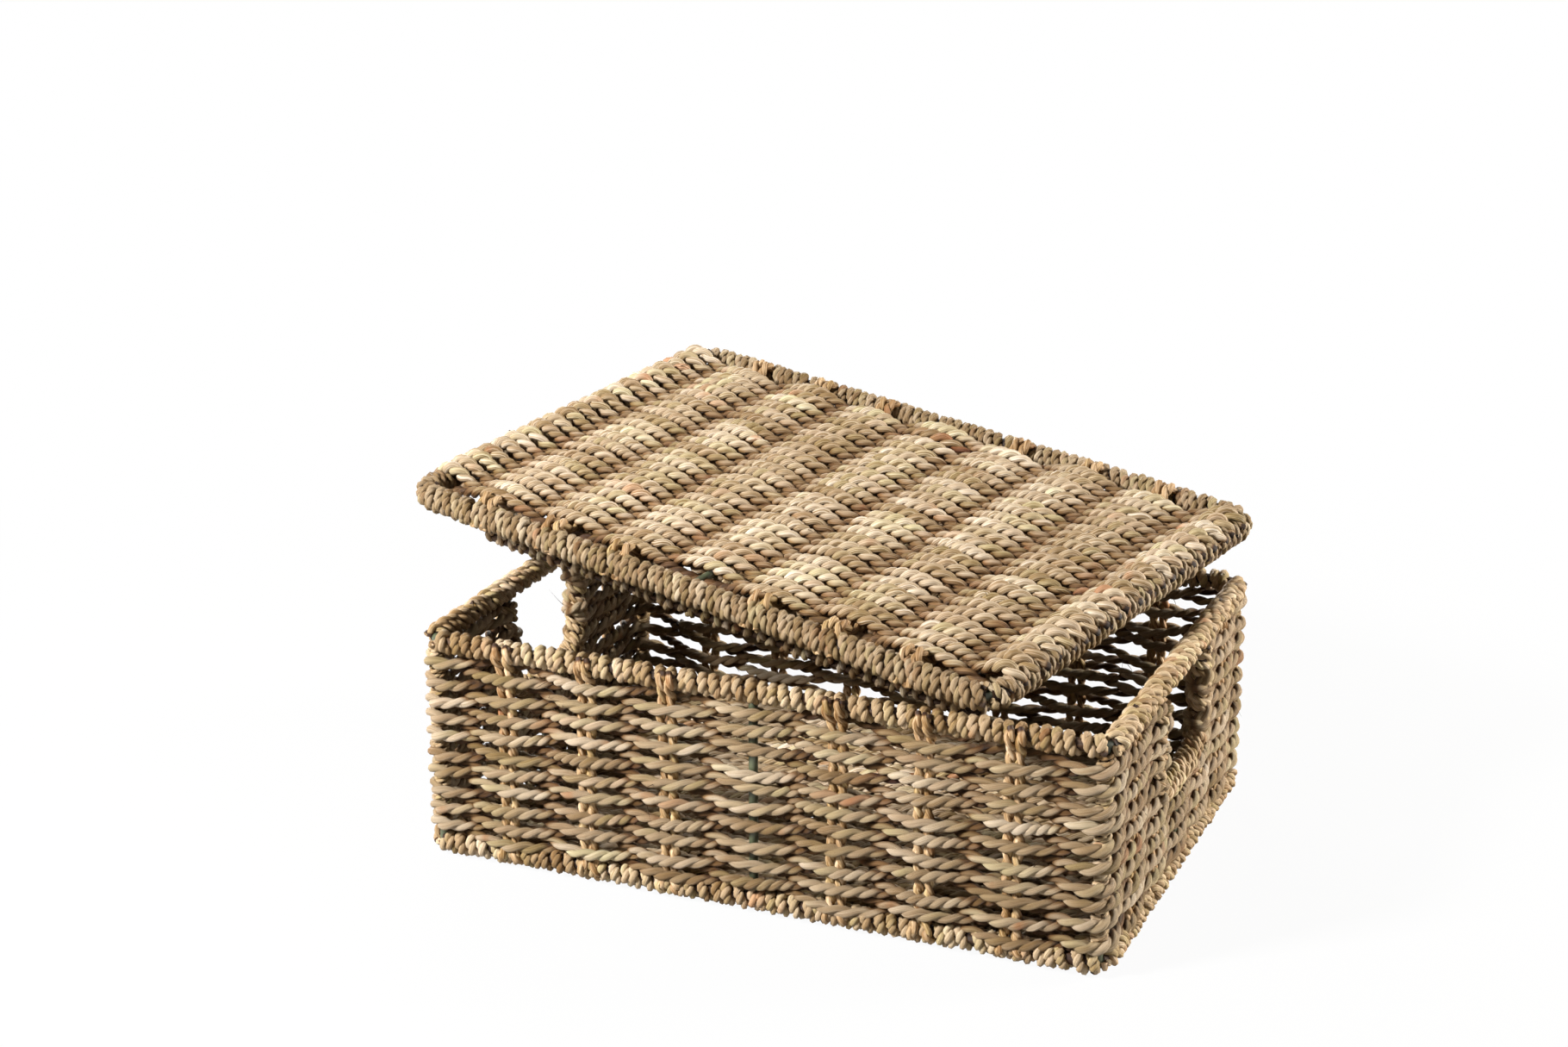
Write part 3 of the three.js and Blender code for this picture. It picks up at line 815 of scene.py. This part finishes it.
def panelRopes(panel, rope, place, rowsUsed):
    strands = []
    span = panel["halfX"] + panel["overhang"]
    x = np.arange(-span, span, weave["step"])
    edge = panel["edge"]
    past = np.clip((np.abs(x) - panel["halfX"] + edge) / (panel["overhang"] + edge), 0, 1)
    phase = np.pi * (x / panel["bay"])
    for row in rowsUsed:
        y = (row + 0.5 - panel["rows"] / 2) * panel["pitch"]
        sway = panel["sway"] * wander(x, *weave["swayWaves"])
        for strand in (1, -1):
            z = strand * panel["standOff"] * np.cos(phase)
            z += panel["flutter"] * wander(x, *panel["flutterWaves"])
            over = np.where(strand * np.cos(phase) > 0, 1.0, -1.0)
            z += panel["rise"] * np.sin(np.pi * past) * over - panel["tuck"] * past ** 3 * over
            across = y + strand * panel["pitch"] / 4 + sway
            path = place(np.c_[x, across, z + panel["z"]])
            up = place(np.c_[x, across, z + panel["z"] + 1]) - path
            strands += twist(path, up, rope, 1 - panel["pinch"] * np.sin(phase) ** 2)
    return strands


basePanel = {
    "halfX": 148.0,
    "overhang": 0.0,
    "edge": 10,
    "rise": 0.0,
    "tuck": 0.0,
    "rows": 23,
    "pitch": 8.8,
    "bay": 38.75,
    "standOff": 1.5,
    "sway": 0.5,
    "flutter": 0.25,
    "flutterWaves": (150, 30),
    "pinch": 0.2,
    "z": 5.2,
}
baseRope = {"ply": 1.7, "helix": 1.3, "lay": 12.0, "perTurn": 7, "vary": 0.12}
makePiece(
    "baseWeave",
    "box",
    ["base_weave"],
    panelRopes(basePanel, baseRope, lambda p: p, range(basePanel["rows"])),
    weaverGrass,
    roundness=1,
)


# Lid, built flat about its ring and then laid askew on the box.

lid = {
    "halfX": 159.0,
    "halfY": 107.0,
    "corner": 11.0,
    "bay": 39.25,
    "place": (-23.3, 38.0, 136.812),
    "roll": 5.4,
    "pitch": 4.85,
    "yaw": -14.0,
}
lidPanel = {
    "halfX": 156.0,
    "overhang": 8.0,
    "edge": 10,
    "rise": 2.6,
    "tuck": 5.0,
    "rows": 21,
    "pitch": 9.2,
    "bay": lid["bay"],
    "standOff": 4.1,
    "sway": 0.7,
    "flutter": 0.25,
    "flutterWaves": (150, 30),
    "pinch": 0.2,
    "z": 1.6,
    "hollowShare": 0.62,
}
lidRope = {"ply": 1.95, "helix": 1.5, "lay": 11.0, "perTurn": 10, "vary": 0.18}
lidTurn = np.array(
    Euler([math.radians(lid[key]) for key in ("roll", "pitch", "yaw")], "XYZ").to_matrix()
)


def onLid(points):
    return points @ lidTurn.T + np.array(lid["place"])


def onLidStrands(strands):
    return [
        (onLid(points), radii, None if lie is None else (onLid(lie[0]), *lie[1:]))
        for points, radii, lie in strands
    ]


# Distance from the middle of the lid, scaled by hollowShare, for its painted shade.
def lidDepth(points):
    depth = (points - np.array(lid["place"])) @ lidTurn[:, 2] - lidPanel["z"]
    return lidPanel["hollowShare"] * depth


lidStrands = []
third = lidPanel["rows"] // 3
for k, (part, nodes) in enumerate((("Front", ["lid_weave"]), ("Middle", []), ("Rear", []))):
    lidStrands += makePiece(
        "lidWeave" + part,
        "lid",
        nodes,
        panelRopes(lidPanel, lidRope, onLid, range(k * third, (k + 1) * third)),
        lidGrass,
        offMiddle=lidDepth,
    )

lidRing = ringPath(lid["halfX"], lid["halfY"], lid["corner"], 0.0)


def lidWires():
    cross = np.array([[0, -lid["halfY"], 0], [0, lid["halfY"], 0]], float)
    return onLidStrands([(lidRing, wire["radius"], None), (cross, wire["radius"], None)])


makePiece(
    "lidWires",
    "lid",
    ["lid_frame"],
    lidWires(),
    greenCoat,
    roundness=wire["roundness"],
)

lidStake = {
    "columns": (-3, -2, -1, 1, 2, 3),
    "steps": 90,
    "over": 4.5,
    "edge": 11,
    "sink": 0.6,
    "rise": 7.2,
    "early": 1.25,
    "tuck": 5.0,
    "spread": 2.0,
    "sway": 0.4,
    "swayWaves": (120, 30),
}


def lidStakes():
    strands = []
    reach, count = lid["halfY"] + lidStake["over"], lidStake["steps"]
    y = np.linspace(-reach, reach, count)
    edge = lidStake["edge"]
    past = np.clip((np.abs(y) - lid["halfY"] + edge) / (edge + lidStake["over"]), 0, 1)
    hump = np.sin(np.pi * np.clip(past * lidStake["early"], 0, 1))
    z = lidPanel["z"] - lidStake["sink"] + lidStake["rise"] * hump - lidStake["tuck"] * past ** 3
    for column in lidStake["columns"]:
        for sign in (-0.5, 0.5):
            apart = stake["spacing"] + lidStake["spread"] * past
            sway = lidStake["sway"] * wander(y, *lidStake["swayWaves"])
            x = column * lid["bay"] + sign * apart + sway
            strands += twist(np.c_[x, y, z], constant([0, 0, 1.0], count), stakeCord)
    return onLidStrands(strands)


makePiece(
    "lidStakes",
    "lid",
    [f"lid_stake_{c + 1}" for c in range(len(lidStake["columns"]))],
    lidStakes(),
    stakeGrass,
    roundness=1,
)

lidWrap = {"radius": 4.1, "pitch": 4.7, "hand": -1, "starts": 3, "core": 3.6}
lidFineWrap = {"radius": 4.3, "pitch": 4.2, "hand": -1, "starts": 2, "core": 3.7}
lidBorderRope = {"ply": 1.4, "helix": 1.15, "lay": 8.6, "perTurn": 8, "vary": 0.15, "hand": -1}
lidFineRope = {"ply": 1.25, "helix": 1.0, "lay": 8.6, "perTurn": 8, "vary": 0.15, "hand": -1}
lidBinding = ringBinding(lidRing, bare["lid"], lidWrap, lidBorderRope, lidFineWrap, lidFineRope)
makePiece(
    "lidBorder",
    "lid",
    [f"lid_border_{side}" for side in sideNames],
    onLidStrands(lidBinding),
    shadedBorderGrass,
    roundness=1,
)

lip = {"halfX": 138.0, "halfY": 86.0, "corner": 6.0, "rows": 3, "top": -7.5, "pitch": 7.6}
lipWrap = {"radius": 2.3, "tall": 9.3, "pitch": 6.4, "hand": 1, "starts": 3, "core": 2.2}
lipRope = {"ply": 1.45, "helix": 1.0, "lay": 11.0, "perTurn": 8, "vary": 0.2, "hand": 1}


def lidLip():
    rows = [
        ringPath(lip["halfX"], lip["halfY"], lip["corner"], lip["top"] - row * lip["pitch"])
        for row in range(lip["rows"])
    ]
    strands = [(path, lipWrap["core"], None) for path in rows]
    for axis, out, up in sideRuns(rows[lip["rows"] // 2], bare["lip"]):
        run = (axis, out, up * lipWrap["tall"] / lipWrap["radius"])
        for start in range(lipWrap["starts"]):
            path, outward = wound(*run, lipWrap, start / lipWrap["starts"])
            strands += twist(path, outward, lipRope)
    return onLidStrands(strands)


makePiece(
    "lidLip",
    "lid",
    [f"lid_lip_{side}" for side in sideNames],
    lidLip(),
    weaverGrass,
    roundness=1,
)


# Loose fibres that stand off the ropes.

fibre = {
    "onBox": 190,
    "onLid": 130,
    "radius": 0.16,
    "short": 3.5,
    "long": 9.5,
    "steps": 7,
    "away": (0.25, 0.7),
    "ahead": (0.5, 1.0),
    "aside": 0.3,
    "curl": 0.35,
    "root": 0.9,
    "thickness": 1.1,
    "lowest": 1,
}


def looseFibres(strands, count):
    hairs = []
    for _ in range(count):
        points, radii, lie = strands[rng.integers(len(strands))]
        k = rng.integers(2, len(points) - 3)
        away = unit((points[k] - lie[0][k])[None])[0]
        ahead = unit((points[k + 1] - points[k])[None])[0]
        side = unit(rng.normal(size=(1, 3)))[0]
        reach = rng.uniform(fibre["short"], fibre["long"])
        t = np.linspace(0, 1, fibre["steps"])[:, None]
        lift = away * rng.uniform(*fibre["away"]) + ahead * rng.uniform(*fibre["ahead"])
        lift = lift + side * fibre["aside"]
        root = points[k] + away * np.max(radii) * fibre["root"]
        path = root + reach * (t * lift + t ** 2 * side * fibre["curl"])
        if np.min(path[:, 2]) > fibre["lowest"]:  # none pokes through the floor
            hairs.append((path, fibre["radius"] * (fibre["thickness"] - t[:, 0]), None))
    return hairs


for name, body, strands, count in (
    ("boxFibres", "box", boxStrands, fibre["onBox"]),
    ("lidFibres", "lid", lidStrands, fibre["onLid"]),
):
    hairs = looseFibres(strands, count)
    makePiece(name, body, [], hairs, fibreGrass, roundness=0)


# Floor, light and camera.

floor = {"half": 6.0, "grey": (0.4, 0.4, 0.4, 1), "roughness": 0.9}
floorGlow = {"near": 0.2, "far": 0.7, "least": 0.95, "most": 1.0}
skyLight = {"colour": (1.0, 0.84, 0.64, 1), "strength": 0.06}
white = (1, 1, 1, 1)
lampTarget = (0.0, 0.0, 0.07)
lamps = {
    "keyLamp": {
        "place": (-0.92, -1.18, 1.08),
        "size": 0.3,
        "power": 98.0,
        "colour": (1.0, 0.99, 0.975),
    },
    "fillLamp": {
        "place": (1.4, 0.8, 0.45),
        "size": 0.6,
        "power": 64.0,
        "colour": (1.0, 0.94, 0.84),
    },
    "backLamp": {
        "place": (-1.1, 1.5, 0.5),
        "size": 0.8,
        "power": 32.0,
        "colour": (1.0, 0.95, 0.87),
    },
}
view = {
    "place": (0.4294, -1.0867, 0.5373),
    "target": (-0.0304, 0.0, 0.1395),
    "lens": 63.4,
    "sensor": 36.0,
}


def aimed(name, holds, place, target):
    made = bpy.data.objects.new(name, holds)
    made.location = place
    made.rotation_euler = (Vector(target) - Vector(place)).to_track_quat("-Z", "Y").to_euler()
    bpy.context.scene.collection.objects.link(made)
    return made


def areaLamp(name, lamp):
    light = bpy.data.lights.new(name, "AREA")
    light.size = lamp["size"]
    light.energy = lamp["power"]
    light.color = lamp["colour"]
    aimed(name, light, lamp["place"], lampTarget)


def paleFloor():
    sheet = bmesh.new()
    bmesh.ops.create_grid(sheet, x_segments=1, y_segments=1, size=floor["half"])
    mesh = bpy.data.meshes.new("floor")
    sheet.to_mesh(mesh)
    sheet.free()
    made = bpy.data.objects.new("floor", mesh)
    bpy.context.scene.collection.objects.link(made)
    pale = bpy.data.materials.new("paleFloor")
    pale.use_nodes = True
    tree = pale.node_tree
    surface = tree.nodes["Principled BSDF"]
    surface.inputs["Base Color"].default_value = floor["grey"]
    surface.inputs["Roughness"].default_value = floor["roughness"]
    surface.inputs["Specular IOR Level"].default_value = 0.0
    path = addNode(tree, "ShaderNodeLightPath")
    glow = addNode(tree, "ShaderNodeEmission", Color=white, Strength=1.0)
    spot = addNode(tree, "ShaderNodeTexCoord").outputs["Object"]
    reach = addNode(tree, "ShaderNodeVectorMath", {"operation": "LENGTH"}, in0=spot)
    share = addNode(
        tree,
        "ShaderNodeMapRange",
        {"interpolation_type": "SMOOTHSTEP"},
        in0=reach.outputs["Value"],
        in1=floorGlow["near"],
        in2=floorGlow["far"],
        in3=floorGlow["least"],
        in4=floorGlow["most"],
    )
    seen = mathNode(tree, "MULTIPLY", path.outputs["Is Camera Ray"], share.outputs[0])
    mixed = addNode(
        tree, "ShaderNodeMixShader", in0=seen, in1=surface.outputs[0], in2=glow.outputs[0]
    )
    tree.links.new(mixed.outputs[0], tree.nodes["Material Output"].inputs[0])
    mesh.materials.append(pale)


def whiteWorld():
    studio = bpy.data.worlds.new("studio")
    bpy.context.scene.world = studio
    studio.use_nodes = True
    tree = studio.node_tree
    tree.nodes.clear()
    rays = addNode(tree, "ShaderNodeLightPath").outputs
    seen = mathNode(tree, "MAXIMUM", rays["Is Camera Ray"], rays["Is Glossy Ray"])
    seen = mathNode(tree, "MAXIMUM", seen, rays["Is Transmission Ray"])
    soft = addNode(
        tree, "ShaderNodeBackground", Color=skyLight["colour"], Strength=skyLight["strength"]
    )
    bright = addNode(tree, "ShaderNodeBackground", Color=white, Strength=1.0)
    mixed = addNode(
        tree, "ShaderNodeMixShader", in0=seen, in1=soft.outputs[0], in2=bright.outputs[0]
    )
    addNode(tree, "ShaderNodeOutputWorld", Surface=mixed.outputs[0])


paleFloor()
whiteWorld()
for name, lamp in lamps.items():
    areaLamp(name, lamp)
lens = bpy.data.cameras.new("camera")
lens.lens = view["lens"]
lens.sensor_width = view["sensor"]
bpy.context.scene.camera = aimed("camera", lens, view["place"], view["target"])
bpy.context.scene.view_settings.view_transform = "Standard"
print("stage: floor, light and camera")
